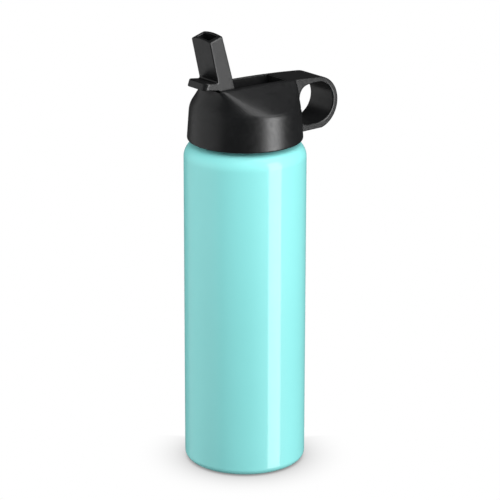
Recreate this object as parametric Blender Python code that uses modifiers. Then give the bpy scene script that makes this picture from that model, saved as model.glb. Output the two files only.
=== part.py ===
"""Insulated water bottle with a screw-on straw lid, a flip-up spout and a carry loop.

Metres, +Z up. The bottle's axis is the Z axis and it stands on z = 0. The carry loop points to +X,
and the spout leans to -X when it is raised, which is how it is modelled.
"""

import math

import bmesh
import bpy
from mathutils import Matrix, Vector

GAP = 0.0003  # clearance left between neighbouring pieces
SIDES = (("far", 1), ("near", -1))  # +Y and -Y
TURN_STEPS = 48
SMALL_STEPS = 24

# Steel body
BODY_R = 0.0365
SHELL_WALL = 0.0008
BASE_CORNER_R = 0.0041
SHOULDER_Z = 0.1905
SHOULDER_R = 0.0100
NECK_R = 0.0288
NECK_WALL = 0.0009
NECK_FILLET_R = 0.0010
SHELL_TOP_Z = 0.2163
LIP_Z = 0.2173
LINER_R = 0.0336
LINER_WALL = 0.0006
LINER_FLOOR_Z = 0.0072
LINER_CORNER_R = 0.0060
MOUTH_R = 0.0269
BASE_RIM_R = 0.0300
BASE_COVER_THICK = 0.0012
BASE_GROOVE_R = (0.0220, 0.0240)
BASE_GROOVE_DEPTH = 0.0005
VACUUM_BOTTOM_Z = 0.0018
VACUUM_BOTTOM_R = 0.0342
EVACUATION_R = 0.0010
DIMPLE_R = 0.0060
DIMPLE_DEPTH = 0.0006
GLASS_R = 0.0028
GETTER_R = 0.0040
GETTER_THICK = 0.0012
GETTER_X = 0.0140
FOIL_Z = (0.0120, 0.1885)
FOIL_OFF_LINER = 0.0004

# Neck thread and the thread inside the lid, both right-handed
THREAD_LEAD = 0.0040
THREAD_Z = 0.2065
THREAD_HEIGHT = 0.0012
THREAD_ROOT = 0.0016
THREAD_CREST = 0.0009

# Lid
SKIRT_Z = 0.2014
SKIRT_R = 0.03455
SKIRT_CORNER = 0.0010
SKIRT_TOP_Z = 0.2222
SKIRT_TOP_R = 0.0331
CAP_BORE_R = 0.0318
CAP_WALL = 0.0020
BAR_HALF_WIDTH = 0.0106
BAR_FRONT_X = -0.0275
BAR_BACK_X = 0.0335
BAR_CORNER_R = 0.0025
BAR_TOP_Z = 0.2362
BAR_CROWN_X = -0.020
BAR_CROWN_R = 0.70  # the top edge falls away from its crown along this radius
FRONT_CREASE_DEG = 125.0
BACK_CREASE_DEG = 50.0
CREASE_SPREAD_DEG = 12.0
END_STEPS = 7  # points along half of each straight end of the bar

INSERT_R = 0.0315
INSERT_BORE_R = 0.0304
INSERT_Z = 0.2030
PLATE_Z = (0.2190, 0.2210)
SEAL_NOTCH = 0.0013  # square step at the insert's top edge, which holds the cap seal ring
GASKET_R = 0.0300

# Flip-up spout and the channel that it folds into
PIVOT = Vector((-0.0190, 0.0, 0.2320))
SPOUT_HALF_WIDTH = 0.0087
BARREL_R = 0.0053
SPOUT_FRONT_TIP = Vector((-0.0336, 0.0, 0.2662))
SPOUT_BACK_TIP = Vector((-0.0241, 0.0, 0.2684))
SPOUT_FRONT_FOOT = Vector((-0.0265, 0.0, 0.2366))
TIP_ARCH = 0.0012
SLOT_SIZE = (0.0064, 0.0116)
PORT_R = 0.0027
TAB_LENGTH = 0.0110
TAB_THICK = 0.0044
TAB_TILT_DEG = 8.0
TAB_CORNER_R = 0.0030
CHANNEL_HALF_WIDTH = 0.0090
CHANNEL_FLOOR_Z = 0.2264
CHANNEL_X = (-0.0268, 0.0245)
SEAL_POCKET_Z = 0.2246
SEAL_R = 0.0054
SEAT_HALF = 0.0075
SEAT_BOTTOM_Z = 0.2227
PORT_NECK_R = 0.0036
PIN_R = 0.0014
PIN_Y = (0.0064, 0.0115)
BOSS_HALF_WIDTH = 0.0040
BOSS_Y = (0.0090, 0.0132)

# Carry loop
LOOP_CENTRE = (0.0477, 0.21665)
LOOP_R = 0.0162
LOOP_HOLE_CENTRE = (0.0479, 0.2171)
LOOP_HOLE_R = 0.0124
LOOP_HALF_WIDTH = 0.0106
LOOP_FILLET_R = 0.0080
LOOP_ROOT_X = 0.0290  # the arms start this far inside the lid

# Straw
STRAW_R = 0.0040
STRAW_BORE_R = 0.0032
STRAW_Z = (0.0175, 0.2143)
SOCKET_R = 0.0056
SOCKET_Z = 0.2060
SOCKET_FLANGE_R = 0.0069
ORING_THICK = 0.0010

# Vent
VENT_X = 0.0130
VENT_R = 0.0010
VALVE_HOLE_R = 0.0016
VALVE_STEM_R = 0.00125
VALVE_DISC_R = 0.0042
VALVE_THICK = 0.0012


def clear_scene():
    for item in list(bpy.data.objects):
        bpy.data.objects.remove(item, do_unlink=True)


def collection_named(name):
    found = bpy.data.collections.new(name)
    bpy.context.scene.collection.children.link(found)
    return found


def principled(name, colour, roughness, metallic=0.0):
    material = bpy.data.materials.new(name)
    material.use_nodes = True
    shader = material.node_tree.nodes["Principled BSDF"]
    shader.inputs["Base Color"].default_value = (*colour, 1.0)
    shader.inputs["Roughness"].default_value = roughness
    shader.inputs["Metallic"].default_value = metallic
    material.diffuse_color = (*colour, 1.0)
    return material


def empty_at(name, place, parent=None):
    marker = bpy.data.objects.new(name, None)
    marker.empty_display_size = 0.01
    PARTS.objects.link(marker)
    hold(marker, parent)
    marker.matrix_world = Matrix.Translation(place)
    bpy.context.view_layer.update()
    return marker


def hold(item, parent):
    """Parents item so that its location still reads as a world place."""
    if parent is not None:
        item.parent = parent
        item.matrix_parent_inverse = parent.matrix_world.inverted()


def as_part(item, material, parent=None):
    PARTS.objects.link(item)
    item.data.materials.append(material)
    item.data.shade_smooth()
    item.data.set_sharp_from_angle(angle=math.radians(35))
    hold(item, parent)
    return item


def as_cutter(item):
    CUTTERS.objects.link(item)
    item.hide_render = True
    item.display_type = "WIRE"
    return item


def mesh_from(name, work):
    """A mesh object from a bmesh, its faces turned outwards."""
    bmesh.ops.recalc_face_normals(work, faces=work.faces)
    mesh = bpy.data.meshes.new(name)
    work.to_mesh(mesh)
    work.free()
    return bpy.data.objects.new(name, mesh)


def boolean(item, other, operation="DIFFERENCE"):
    step = item.modifiers.new(other.name, "BOOLEAN")
    step.operation = operation
    step.object = other
    step.solver = "EXACT"


def arc(centre, radius, start_deg, end_deg, count):
    """Points on a circle in the profile plane, ends included."""
    angles = [start_deg + (end_deg - start_deg) * i / count for i in range(count + 1)]
    return [
        (centre[0] + radius * math.cos(math.radians(a)), centre[1] + radius * math.sin(math.radians(a)))
        for a in angles
    ]


def turned(name, profile, steps=TURN_STEPS, closed=True, location=(0, 0, 0)):
    """A solid of revolution about its own Z from (radius, height) points, its outer side running down."""
    work = bmesh.new()
    points = [work.verts.new((r, 0, z)) for r, z in profile]
    ends = points + points[:1] if closed else points
    for first, second in zip(ends, ends[1:]):
        work.edges.new((first, second))
    mesh = bpy.data.meshes.new(name)
    work.to_mesh(mesh)
    work.free()
    item = bpy.data.objects.new(name, mesh)
    item.location = location
    screw = item.modifiers.new("turn", "SCREW")
    screw.axis = "Z"
    screw.angle = math.tau
    screw.steps = steps
    screw.render_steps = steps
    screw.use_merge_vertices = True
    screw.merge_threshold = 0.00001
    screw.use_smooth_shade = True
    return item


def ring(name, inner, outer, bottom, top, steps=TURN_STEPS, location=(0, 0, 0)):
    profile = [(outer, top), (outer, bottom), (inner, bottom), (inner, top)]
    return turned(name, profile, steps, location=location)


def disc(name, radius, bottom, top, steps=TURN_STEPS, location=(0, 0, 0)):
    profile = [(0, top), (radius, top), (radius, bottom), (0, bottom)]
    return turned(name, profile, steps, closed=False, location=location)


def box(name, x, y, z):
    work = bmesh.new()
    bmesh.ops.create_cube(work, size=1)
    size = Vector((x[1] - x[0], y[1] - y[0], z[1] - z[0]))
    middle = Vector((x[0] + x[1], y[0] + y[1], z[0] + z[1])) / 2
    frame = Matrix.Translation(middle) @ Matrix.Diagonal((*size, 1))
    bmesh.ops.transform(work, matrix=frame, verts=work.verts)
    return mesh_from(name, work)


def cylinder(name, radius, start, end, steps=SMALL_STEPS):
    """A closed cylinder between two points."""
    start, end = Vector(start), Vector(end)
    along = end - start
    work = bmesh.new()
    bmesh.ops.create_cone(
        work, cap_ends=True, segments=steps, radius1=radius, radius2=radius, depth=along.length
    )
    turn = along.to_track_quat("Z", "Y").to_matrix().to_4x4()
    bmesh.ops.transform(work, matrix=Matrix.Translation((start + end) / 2) @ turn, verts=work.verts)
    return mesh_from(name, work)


def upright_hole(name, radius, x, bottom, top, steps=SMALL_STEPS):
    return cylinder(name, radius, (x, 0, bottom), (x, 0, top), steps)


def side_outline(name, outline, half_width):
    """A closed (x, z) outline given thickness along Y, as a welded mesh."""
    data = bpy.data.curves.new(name, "CURVE")
    data.dimensions = "2D"
    data.fill_mode = "BOTH"
    data.extrude = half_width
    spline = data.splines.new("POLY")
    spline.points.add(len(outline) - 1)
    for point, (x, z) in zip(spline.points, outline):
        point.co = (x, z, 0, 1)
    spline.use_cyclic_u = True
    upright = Matrix.Rotation(math.pi / 2, 4, "X")
    return mesh_of_curve(name, data, upright)


def mesh_of_curve(name, data, matrix):
    guide = bpy.data.objects.new(name + "_curve", data)
    bpy.context.scene.collection.objects.link(guide)
    guide.matrix_world = matrix
    bpy.context.view_layer.update()
    evaluated = guide.evaluated_get(bpy.context.evaluated_depsgraph_get())
    mesh = bpy.data.meshes.new_from_object(evaluated)
    work = bmesh.new()
    work.from_mesh(mesh)
    bmesh.ops.remove_doubles(work, verts=work.verts, dist=0.00001)
    bmesh.ops.transform(work, matrix=matrix, verts=work.verts)
    bpy.data.objects.remove(guide, do_unlink=True)
    return mesh_from(name, work)


def helical_ridge(name, root_r, crest_r, start_z, start_deg, turn_deg, steps=48):
    """A thread ridge of trapezoid section that dies out at both ends."""
    work = bmesh.new()
    rings = []
    for i in range(steps + 1):
        share = i / steps
        angle = math.radians(start_deg + turn_deg * share)
        height = start_z + THREAD_LEAD * angle / math.tau
        fade = min(1.0, 8 * share + 0.05, 8 * (1 - share) + 0.05)
        crest = root_r + (crest_r - root_r) * fade
        section = [
            (root_r, -THREAD_ROOT / 2),
            (crest, -THREAD_CREST / 2),
            (crest, THREAD_CREST / 2),
            (root_r, THREAD_ROOT / 2),
        ]
        rings.append(
            [work.verts.new((r * math.cos(angle), r * math.sin(angle), height + dz)) for r, dz in section]
        )
    for first, second in zip(rings, rings[1:]):
        for j in range(4):
            k = (j + 1) % 4
            work.faces.new((first[j], first[k], second[k], second[j]))
    work.faces.new(rings[0])
    work.faces.new(rings[-1])
    return mesh_from(name, work)


def bar_top(x):
    """Height of the lid's top edge, a long arc that falls away from its crown."""
    return BAR_TOP_Z - (x - BAR_CROWN_X) ** 2 / (2 * BAR_CROWN_R)


def spaced(start, end, count):
    """Values from start towards end, the end left out."""
    return [start + (end - start) * i / count for i in range(count)]


def lid_stations(inset=0.0):
    """Half of the lid's plan from back to front: base angle, then the point on the top bar's outline."""
    back, front = BAR_BACK_X - inset, BAR_FRONT_X + inset
    half = BAR_HALF_WIDTH - inset
    corner = BAR_CORNER_R
    straight = half - corner
    stations = []
    back_start, back_end = BACK_CREASE_DEG - CREASE_SPREAD_DEG, BACK_CREASE_DEG + CREASE_SPREAD_DEG
    front_start, front_end = FRONT_CREASE_DEG - CREASE_SPREAD_DEG, FRONT_CREASE_DEG + CREASE_SPREAD_DEG
    for angle, y in zip(spaced(0, back_start, END_STEPS), spaced(0, straight, END_STEPS)):
        stations.append((angle, back, y))
    back_corner = arc((back - corner, straight), corner, 0, 90, 4)
    for angle, (x, y) in zip(spaced(back_start, back_end, 4), back_corner):
        stations.append((angle, x, y))
    for angle, x in zip(spaced(back_end, front_start, 12), spaced(back - corner, front + corner, 12)):
        stations.append((angle, x, half))
    front_corner = arc((front + corner, straight), corner, 90, 180, 4)
    for angle, (x, y) in zip(spaced(front_start, front_end, 4), front_corner):
        stations.append((angle, x, y))
    for angle, y in zip(spaced(front_end, 180, END_STEPS), spaced(straight, 0, END_STEPS)):
        stations.append((angle, front, y))
    stations.append((180, front, 0))
    return stations


def lid_loft(name, base_rings, inset, top_drop):
    """A solid with round rings below and the narrow top bar's outline above."""
    half = lid_stations(inset)
    stations = half + [(-a, x, -y) for a, x, y in reversed(half[1:-1])]
    work = bmesh.new()
    rings = []
    for radius, z in base_rings:
        turns = [math.radians(a) for a, _, _ in stations]
        rings.append([work.verts.new((radius * math.cos(t), radius * math.sin(t), z)) for t in turns])
    rings.append([work.verts.new((x, y, bar_top(x) - top_drop)) for _, x, y in stations])
    count = len(stations)
    for lower, upper in zip(rings, rings[1:]):
        for i in range(count):
            k = (i + 1) % count
            work.faces.new((lower[i], lower[k], upper[k], upper[i]))
    work.faces.new(rings[0])
    top = rings[-1]
    end, front = END_STEPS + 1, len(half) - 1
    work.faces.new([top[i] for i in range(-end, end + 1)])
    work.faces.new([top[i] for i in range(front - end, front + end + 1)])
    for i in range(end, front - end):
        work.faces.new((top[i], top[i + 1], top[count - i - 1], top[count - i]))
    bmesh.ops.triangulate(work, faces=work.faces)
    return mesh_from(name, work)


def make_outer_shell():
    inner = BODY_R - SHELL_WALL
    centre = (BODY_R - SHOULDER_R, SHOULDER_Z)
    base = (BODY_R - BASE_CORNER_R, BASE_CORNER_R)
    shoulder_end = math.degrees(math.acos((NECK_R + NECK_FILLET_R - centre[0]) / SHOULDER_R))
    neck_bore = NECK_R - NECK_WALL
    inner_shoulder_r = SHOULDER_R - SHELL_WALL
    inner_end = math.degrees(math.acos((neck_bore - centre[0]) / inner_shoulder_r))
    shoulder_top = centre[1] + SHOULDER_R * math.sin(math.radians(shoulder_end))
    profile = [(NECK_R, SHELL_TOP_Z), (NECK_R, shoulder_top + NECK_FILLET_R)]
    profile += arc(centre, SHOULDER_R, shoulder_end, 0, 6)
    profile += arc(base, BASE_CORNER_R, 0, -90, 4)
    profile += [(BASE_RIM_R, 0), (BASE_RIM_R, SHELL_WALL)]
    profile += arc(base, BASE_CORNER_R - SHELL_WALL, -90, 0, 3)
    profile += arc((inner - inner_shoulder_r, SHOULDER_Z), inner_shoulder_r, 0, inner_end, 5)
    profile += [(neck_bore, SHELL_TOP_Z)]
    shell = turned("outer_shell", profile)
    ridge = as_cutter(
        helical_ridge("neck_thread", NECK_R - NECK_WALL / 2, NECK_R + THREAD_HEIGHT, THREAD_Z, 0, 360)
    )
    boolean(shell, ridge, "UNION")
    return as_part(shell, principled("mint_powder_coat", (0.29, 0.86, 0.82), 0.30))


def make_inner_liner():
    outer, inner = LINER_R, LINER_R - LINER_WALL
    neck_out = MOUTH_R + LINER_WALL
    centre_r = BODY_R - SHOULDER_R
    outer_arc, inner_arc = outer - centre_r, inner - centre_r
    outer_end = math.degrees(math.acos((neck_out - centre_r) / outer_arc))
    inner_end = math.degrees(math.acos((MOUTH_R - centre_r) / inner_arc))
    corner = (outer - LINER_CORNER_R, LINER_FLOOR_Z - LINER_WALL + LINER_CORNER_R)
    profile = [(0, LINER_FLOOR_Z)]
    profile += arc(corner, LINER_CORNER_R - LINER_WALL, -90, 0, 4)
    profile += arc((centre_r, SHOULDER_Z), inner_arc, 0, inner_end, 5)
    profile += [(MOUTH_R, LIP_Z), (NECK_R, LIP_Z)]
    profile += [(NECK_R, SHELL_TOP_Z + GAP), (neck_out, SHELL_TOP_Z + GAP)]
    profile += arc((centre_r, SHOULDER_Z), outer_arc, outer_end, 0, 5)
    profile += arc(corner, LINER_CORNER_R, 0, -90, 4)
    profile += [(0, LINER_FLOOR_Z - LINER_WALL)]
    liner = turned("inner_liner", profile, closed=False)
    return as_part(liner, principled("brushed_steel", (0.62, 0.62, 0.60), 0.32, 1.0))


def make_vacuum_parts(steel):
    copper = principled("copper_foil", (0.86, 0.45, 0.30), 0.30, 1.0)
    glass = principled("sealing_glass", (0.10, 0.12, 0.11), 0.15)
    grey = principled("getter_alloy", (0.30, 0.30, 0.31), 0.60, 1.0)
    foil_r = LINER_R + FOIL_OFF_LINER
    as_part(ring("copper_wrap", foil_r, foil_r + GAP, *FOIL_Z), copper)
    bottom, top = VACUUM_BOTTOM_Z, VACUUM_BOTTOM_Z + SHELL_WALL
    slope_r = DIMPLE_R + 0.0020
    dimple_z = bottom + DIMPLE_DEPTH
    profile = [(slope_r, top), (VACUUM_BOTTOM_R, top), (VACUUM_BOTTOM_R - DIMPLE_DEPTH, bottom)]
    profile += [(slope_r, bottom), (DIMPLE_R, dimple_z), (EVACUATION_R, dimple_z)]
    profile += [(EVACUATION_R, dimple_z + SHELL_WALL), (DIMPLE_R, dimple_z + SHELL_WALL)]
    as_part(turned("outer_bottom", profile), steel)
    plug_r, plug_top = EVACUATION_R - GAP, dimple_z + 0.0005
    bead_top, bead_bottom = dimple_z - GAP, BASE_COVER_THICK + GAP
    profile = [(0, plug_top), (plug_r, plug_top), (plug_r, bead_top)]
    profile += [(GLASS_R, bead_top), (GLASS_R - DIMPLE_DEPTH, bead_bottom), (0, bead_bottom)]
    as_part(turned("vacuum_seal", profile, SMALL_STEPS, closed=False), glass)
    getter_z = (top + GAP, top + GAP + GETTER_THICK)
    as_part(disc("getter", GETTER_R, *getter_z, SMALL_STEPS, (GETTER_X, 0, 0)), grey)


def make_base_cover(steel):
    radius = BASE_RIM_R - GAP
    inner, outer = BASE_GROOVE_R
    deep = BASE_GROOVE_DEPTH
    profile = [(0, BASE_COVER_THICK), (radius, BASE_COVER_THICK), (radius, 0), (outer, 0)]
    profile += [(outer - deep, deep), (inner + deep, deep), (inner, 0), (0, 0)]
    return as_part(turned("base_cover", profile, closed=False), steel)


def loop_outline():
    """The carry loop seen from the side: a C-shaped strip whose arms run into the lid."""
    cx, cz = LOOP_CENTRE
    hole_z = LOOP_HOLE_CENTRE[1]
    fillet_x = SKIRT_TOP_R + 0.0006 + LOOP_FILLET_R
    lean = math.atan2(cx - BAR_CROWN_X, cz - BAR_TOP_Z + BAR_CROWN_R)
    tangent_x = cx + LOOP_R * math.sin(lean)
    outline = [(LOOP_ROOT_X, bar_top(LOOP_ROOT_X) - 0.0008)]
    outline += [(x, bar_top(x)) for x in spaced(BAR_BACK_X + 0.0010, tangent_x, 4)]
    outline += arc(LOOP_CENTRE, LOOP_R, 90 - math.degrees(lean), -90, 20)
    outline += [(LOOP_ROOT_X, cz - LOOP_R)]
    lower_z = hole_z - LOOP_HOLE_R + LOOP_FILLET_R
    upper_z = hole_z + LOOP_HOLE_R - LOOP_FILLET_R
    outline += [(LOOP_ROOT_X, lower_z)]
    outline += arc((fillet_x, lower_z), LOOP_FILLET_R, 180, 270, 6)
    outline += arc(LOOP_HOLE_CENTRE, LOOP_HOLE_R, -90, 90, 16)
    outline += arc((fillet_x, upper_z), LOOP_FILLET_R, 90, 180, 6)
    outline += [(LOOP_ROOT_X, upper_z)]
    return outline


def mirrored_boxes(name, x, y, z):
    return [box(f"{name}_{side}", x, sorted((y[0] * s, y[1] * s)), z) for side, s in SIDES]


def cap_void():
    """The hollow under the lid's flanks, with the channel's walls and the pin bosses left solid."""
    rings = [(CAP_BORE_R - 0.0012, PLATE_Z[1]), (CAP_BORE_R - 0.0016, SKIRT_TOP_Z - 0.0006)]
    void = as_cutter(lid_loft("cap_void", rings, CAP_WALL, CAP_WALL * 1.1))
    floor_bottom = CHANNEL_FLOOR_Z - CAP_WALL
    ceiling = BAR_TOP_Z + 0.01
    channel = box(
        "channel_walls",
        (BAR_FRONT_X - 0.005, CHANNEL_X[1] + CAP_WALL),
        (-BAR_HALF_WIDTH, BAR_HALF_WIDTH),
        (floor_bottom, ceiling),
    )
    around = (PIVOT.x - SEAT_HALF, PIVOT.x + SEAT_HALF)
    seat = box("seal_seat", around, (-SEAT_HALF, SEAT_HALF), (SEAT_BOTTOM_Z, ceiling))
    boss_x = (PIVOT.x - BOSS_HALF_WIDTH, PIVOT.x + BOSS_HALF_WIDTH)
    bosses = mirrored_boxes("pin_boss", boss_x, BOSS_Y, (PLATE_Z[0], ceiling))
    for kept in [channel, seat, *bosses]:
        boolean(void, as_cutter(kept))
    return void


def make_cap_body(parent, black):
    corner_r = SKIRT_R - SKIRT_CORNER
    rings = [(corner_r, SKIRT_Z), (SKIRT_R, SKIRT_Z + SKIRT_CORNER), (SKIRT_TOP_R, SKIRT_TOP_Z)]
    cap = lid_loft("cap_body", rings, 0.0, 0.0)
    boolean(cap, as_cutter(side_outline("carry_loop", loop_outline(), LOOP_HALF_WIDTH)), "UNION")
    bore = upright_hole("cap_bore", CAP_BORE_R, 0, SKIRT_Z - 0.010, PLATE_Z[1] + GAP, TURN_STEPS)
    channel_y = (-CHANNEL_HALF_WIDTH, CHANNEL_HALF_WIDTH)
    channel = box("channel", CHANNEL_X, channel_y, (CHANNEL_FLOOR_Z, BAR_TOP_Z + 0.01))
    above_floor = CHANNEL_FLOOR_Z + 0.001
    pocket = upright_hole("seal_pocket", SEAL_R + GAP, PIVOT.x, SEAL_POCKET_Z, above_floor)
    port_z = (PLATE_Z[0], SEAL_POCKET_Z + 0.001)
    port = upright_hole("port_hole", PORT_NECK_R + GAP, PIVOT.x, *port_z)
    vent = upright_hole("vent_hole", VENT_R, VENT_X, PLATE_Z[0], above_floor, 16)
    pin_end = PIN_Y[1] + GAP
    pin_holes = [
        cylinder(f"pin_hole_{side}", PIN_R + GAP, PIVOT, PIVOT + Vector((0, s * pin_end, 0)))
        for side, s in SIDES
    ]
    boolean(cap, as_cutter(bore))
    boolean(cap, cap_void())
    for cutter in [channel, pocket, port, vent, *pin_holes]:
        boolean(cap, as_cutter(cutter))
    return as_part(cap, black, parent)


def make_thread_insert(parent, plastic):
    notch_r, notch_z = INSERT_R - SEAL_NOTCH, PLATE_Z[1] - SEAL_NOTCH
    profile = [(0, PLATE_Z[1]), (notch_r, PLATE_Z[1]), (notch_r, notch_z), (INSERT_R, notch_z)]
    profile += [(INSERT_R, INSERT_Z), (INSERT_BORE_R, INSERT_Z)]
    profile += [(INSERT_BORE_R, PLATE_Z[0]), (0, PLATE_Z[0])]
    insert = turned("thread_insert", profile, closed=False)
    ridge_r = (INSERT_BORE_R + 0.0005, NECK_R + 0.00035)
    ridge = helical_ridge("insert_thread", *ridge_r, THREAD_Z - THREAD_LEAD / 2, 45, 270, 36)
    boolean(insert, as_cutter(ridge), "UNION")
    through = (PLATE_Z[0] - 0.004, PLATE_Z[1] + 0.004)
    hole = upright_hole("socket_hole", SOCKET_R + GAP, PIVOT.x, *through)
    recess_r = SOCKET_R + ORING_THICK + 2 * GAP
    recess = upright_hole("oring_recess", recess_r, PIVOT.x, PLATE_Z[1] - ORING_THICK, through[1])
    vent = upright_hole("valve_hole", VALVE_HOLE_R, VENT_X, *through, 16)
    for cutter in (hole, recess, vent):
        boolean(insert, as_cutter(cutter))
    return as_part(insert, plastic, parent)


def make_cap_seal_ring(parent, silicone):
    bottom = PLATE_Z[1] - SEAL_NOTCH + GAP
    seal = ring("cap_seal_ring", INSERT_R - SEAL_NOTCH + GAP, INSERT_R, bottom, PLATE_Z[1])
    return as_part(seal, silicone, parent)


def make_lid_gasket(parent, silicone):
    gasket = ring("lid_gasket", MOUTH_R - GAP, GASKET_R, LIP_Z + GAP, PLATE_Z[0] - GAP)
    return as_part(gasket, silicone, parent)


def make_straw_adapter(parent, plastic, silicone):
    """The socket that holds the straw, its O-ring, and the seal between its neck and the spout."""
    at_pivot = (PIVOT.x, 0, 0)
    flange_z = (PLATE_Z[1] + GAP, SEAT_BOTTOM_Z - GAP)
    stop_z = STRAW_Z[1] + GAP
    straw_fit_r = STRAW_R + GAP
    profile = [(PORT_NECK_R, SEAL_POCKET_Z), (PORT_NECK_R, flange_z[1])]
    profile += [(SOCKET_FLANGE_R, flange_z[1]), (SOCKET_FLANGE_R, flange_z[0])]
    profile += [(SOCKET_R, flange_z[0]), (SOCKET_R, SOCKET_Z), (straw_fit_r, SOCKET_Z)]
    profile += [(straw_fit_r, stop_z), (PORT_R, stop_z), (PORT_R, SEAL_POCKET_Z)]
    as_part(turned("straw_adapter", profile, SMALL_STEPS, location=at_pivot), plastic, parent)
    band_r = (SOCKET_R + GAP, SOCKET_R + GAP + ORING_THICK)
    band_z = (PLATE_Z[1] - ORING_THICK + GAP, PLATE_Z[1])
    as_part(ring("adapter_oring", *band_r, *band_z, SMALL_STEPS, at_pivot), silicone, parent)
    seal_bottom = SEAL_POCKET_Z + GAP
    seal_top = PIVOT.z - BARREL_R - GAP
    profile = [(PORT_R + 0.0012, seal_top), (SEAL_R, seal_top - 0.0006), (SEAL_R, seal_bottom)]
    profile += [(PORT_R, seal_bottom), (PORT_R, seal_top)]
    as_part(turned("spout_seal", profile, SMALL_STEPS, location=at_pivot), silicone, parent)


def make_vent_valve(parent, silicone):
    """An umbrella valve: a stem through the insert's plate and a thin disc below it."""
    stem_top, plate_bottom = PLATE_Z[1] + 0.0005, PLATE_Z[0] - GAP
    rim_bottom = plate_bottom - VALVE_THICK * 2 / 3
    profile = [(0, stem_top), (VALVE_STEM_R, stem_top), (VALVE_STEM_R, plate_bottom)]
    profile += [(VALVE_DISC_R, plate_bottom), (VALVE_DISC_R - 0.0008, rim_bottom)]
    profile += [(0, plate_bottom - VALVE_THICK)]
    valve = turned("vent_valve", profile, SMALL_STEPS, closed=False, location=(VENT_X, 0, 0))
    return as_part(valve, silicone, parent)


def make_spout_pins(parent, steel):
    for side, s in SIDES:
        ends = [PIVOT + Vector((0, s * y, 0)) for y in PIN_Y]
        as_part(cylinder(f"spout_pin_{side}", PIN_R, *ends), steel, parent)


def spout_tip():
    return (SPOUT_FRONT_TIP + SPOUT_BACK_TIP) / 2


def spout_axis():
    return (spout_tip() - PIVOT).normalized()


def tangent_point(outside, side):
    """Where a line from a point touches the barrel; side is +1 for the barrel's +X side."""
    away = outside - PIVOT
    reach = math.hypot(away.x, away.z)
    turn = side * math.acos(BARREL_R / reach)
    angle = math.atan2(away.z, away.x) - turn
    return PIVOT + BARREL_R * Vector((math.cos(angle), 0, math.sin(angle)))


def spout_side():
    """The spout's side view, down the front, round the barrel and up the back; its top is trimmed later."""
    back_foot = tangent_point(SPOUT_BACK_TIP, 1)
    front_foot = tangent_point(SPOUT_FRONT_FOOT, -1)
    start = math.degrees(math.atan2(front_foot.z - PIVOT.z, front_foot.x - PIVOT.x)) % 360
    end = math.degrees(math.atan2(back_foot.z - PIVOT.z, back_foot.x - PIVOT.x)) % 360 + 360
    lift = spout_axis() * TIP_ARCH
    front, back = SPOUT_FRONT_TIP + lift, SPOUT_BACK_TIP + lift
    outline = [(front.x, front.z), (SPOUT_FRONT_FOOT.x, SPOUT_FRONT_FOOT.z)]
    outline += arc((PIVOT.x, PIVOT.z), BARREL_R, start, end, 14)
    return [*outline, (back.x, back.z)]


def thumb_tab():
    """A plate with two rounded corners, tilted up away from the spout's foot."""
    data = bpy.data.curves.new("thumb_tab", "CURVE")
    data.dimensions = "2D"
    data.fill_mode = "BOTH"
    data.extrude = TAB_THICK / 2
    half, corner = SPOUT_HALF_WIDTH, TAB_CORNER_R
    inside_x = 0.004
    outline = [(inside_x, half)]
    outline += arc((-TAB_LENGTH + corner, half - corner), corner, 90, 180, 5)
    outline += arc((-TAB_LENGTH + corner, corner - half), corner, 180, 270, 5)
    outline += [(inside_x, -half)]
    spline = data.splines.new("POLY")
    spline.points.add(len(outline) - 1)
    for point, (x, y) in zip(spline.points, outline):
        point.co = (x, y, 0, 1)
    spline.use_cyclic_u = True
    root = SPOUT_FRONT_FOOT + Vector((0, 0, TAB_THICK / 2))
    tilt = Matrix.Rotation(math.radians(TAB_TILT_DEG), 4, "Y")
    return mesh_of_curve("thumb_tab", data, Matrix.Translation(root) @ tilt)


def tip_cutter(tip, axis, across):
    """Trims the tip to a shallow arch that is highest halfway across its width."""
    half = SPOUT_HALF_WIDTH
    radius = (half**2 + TIP_ARCH**2) / (2 * TIP_ARCH)
    keep = arc((0, TIP_ARCH - radius), radius, 90 - 30, 90 + 30, 24)
    outline = [*keep, (-0.02, 0.02), (0.02, 0.02)]
    work = bmesh.new()
    reach = 0.012
    front = [work.verts.new(tip + Vector((0, y, 0)) + axis * h - across * reach) for y, h in outline]
    rear = [work.verts.new(v.co + across * 2 * reach) for v in front]
    work.faces.new(front)
    work.faces.new(rear)
    for i in range(len(outline)):
        k = (i + 1) % len(outline)
        work.faces.new((front[i], front[k], rear[k], rear[i]))
    return mesh_from("tip_trim", work)


def make_spout(parent, black):
    spout = side_outline("spout", spout_side(), SPOUT_HALF_WIDTH)
    boolean(spout, as_cutter(thumb_tab()), "UNION")
    tip, axis = spout_tip(), spout_axis()
    across = (SPOUT_BACK_TIP - SPOUT_FRONT_TIP).normalized()
    boolean(spout, as_cutter(tip_cutter(tip, axis, across)))
    depth, width = SLOT_SIZE
    slot_bottom = PIVOT + axis * 0.009
    length = (tip - slot_bottom).length + 0.006
    lean = Matrix((across, (0, 1, 0), across.cross(Vector((0, 1, 0))))).transposed().to_4x4()
    frame = Matrix.Translation(slot_bottom + axis * length / 2) @ lean
    work = bmesh.new()
    bmesh.ops.create_cube(work, size=1)
    bmesh.ops.transform(work, matrix=frame @ Matrix.Diagonal((depth, width, length, 1)), verts=work.verts)
    slot = mesh_from("spout_slot", work)
    way = cylinder("spout_way", PORT_R, PIVOT - axis * 0.0011, slot_bottom + axis * 0.001)
    port = upright_hole("spout_port", PORT_R, PIVOT.x, PIVOT.z - 0.008, PIVOT.z + 0.001)
    pin_holes = []
    for side, s in SIDES:
        ends = [PIVOT + Vector((0, s * y, 0)) for y in (PIN_Y[0] - GAP, PIN_Y[1] + GAP)]
        pin_holes.append(cylinder(f"barrel_hole_{side}", PIN_R + GAP, *ends))
    for cutter in [slot, way, port, *pin_holes]:
        boolean(spout, as_cutter(cutter))
    return as_part(spout, black, parent)


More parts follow.
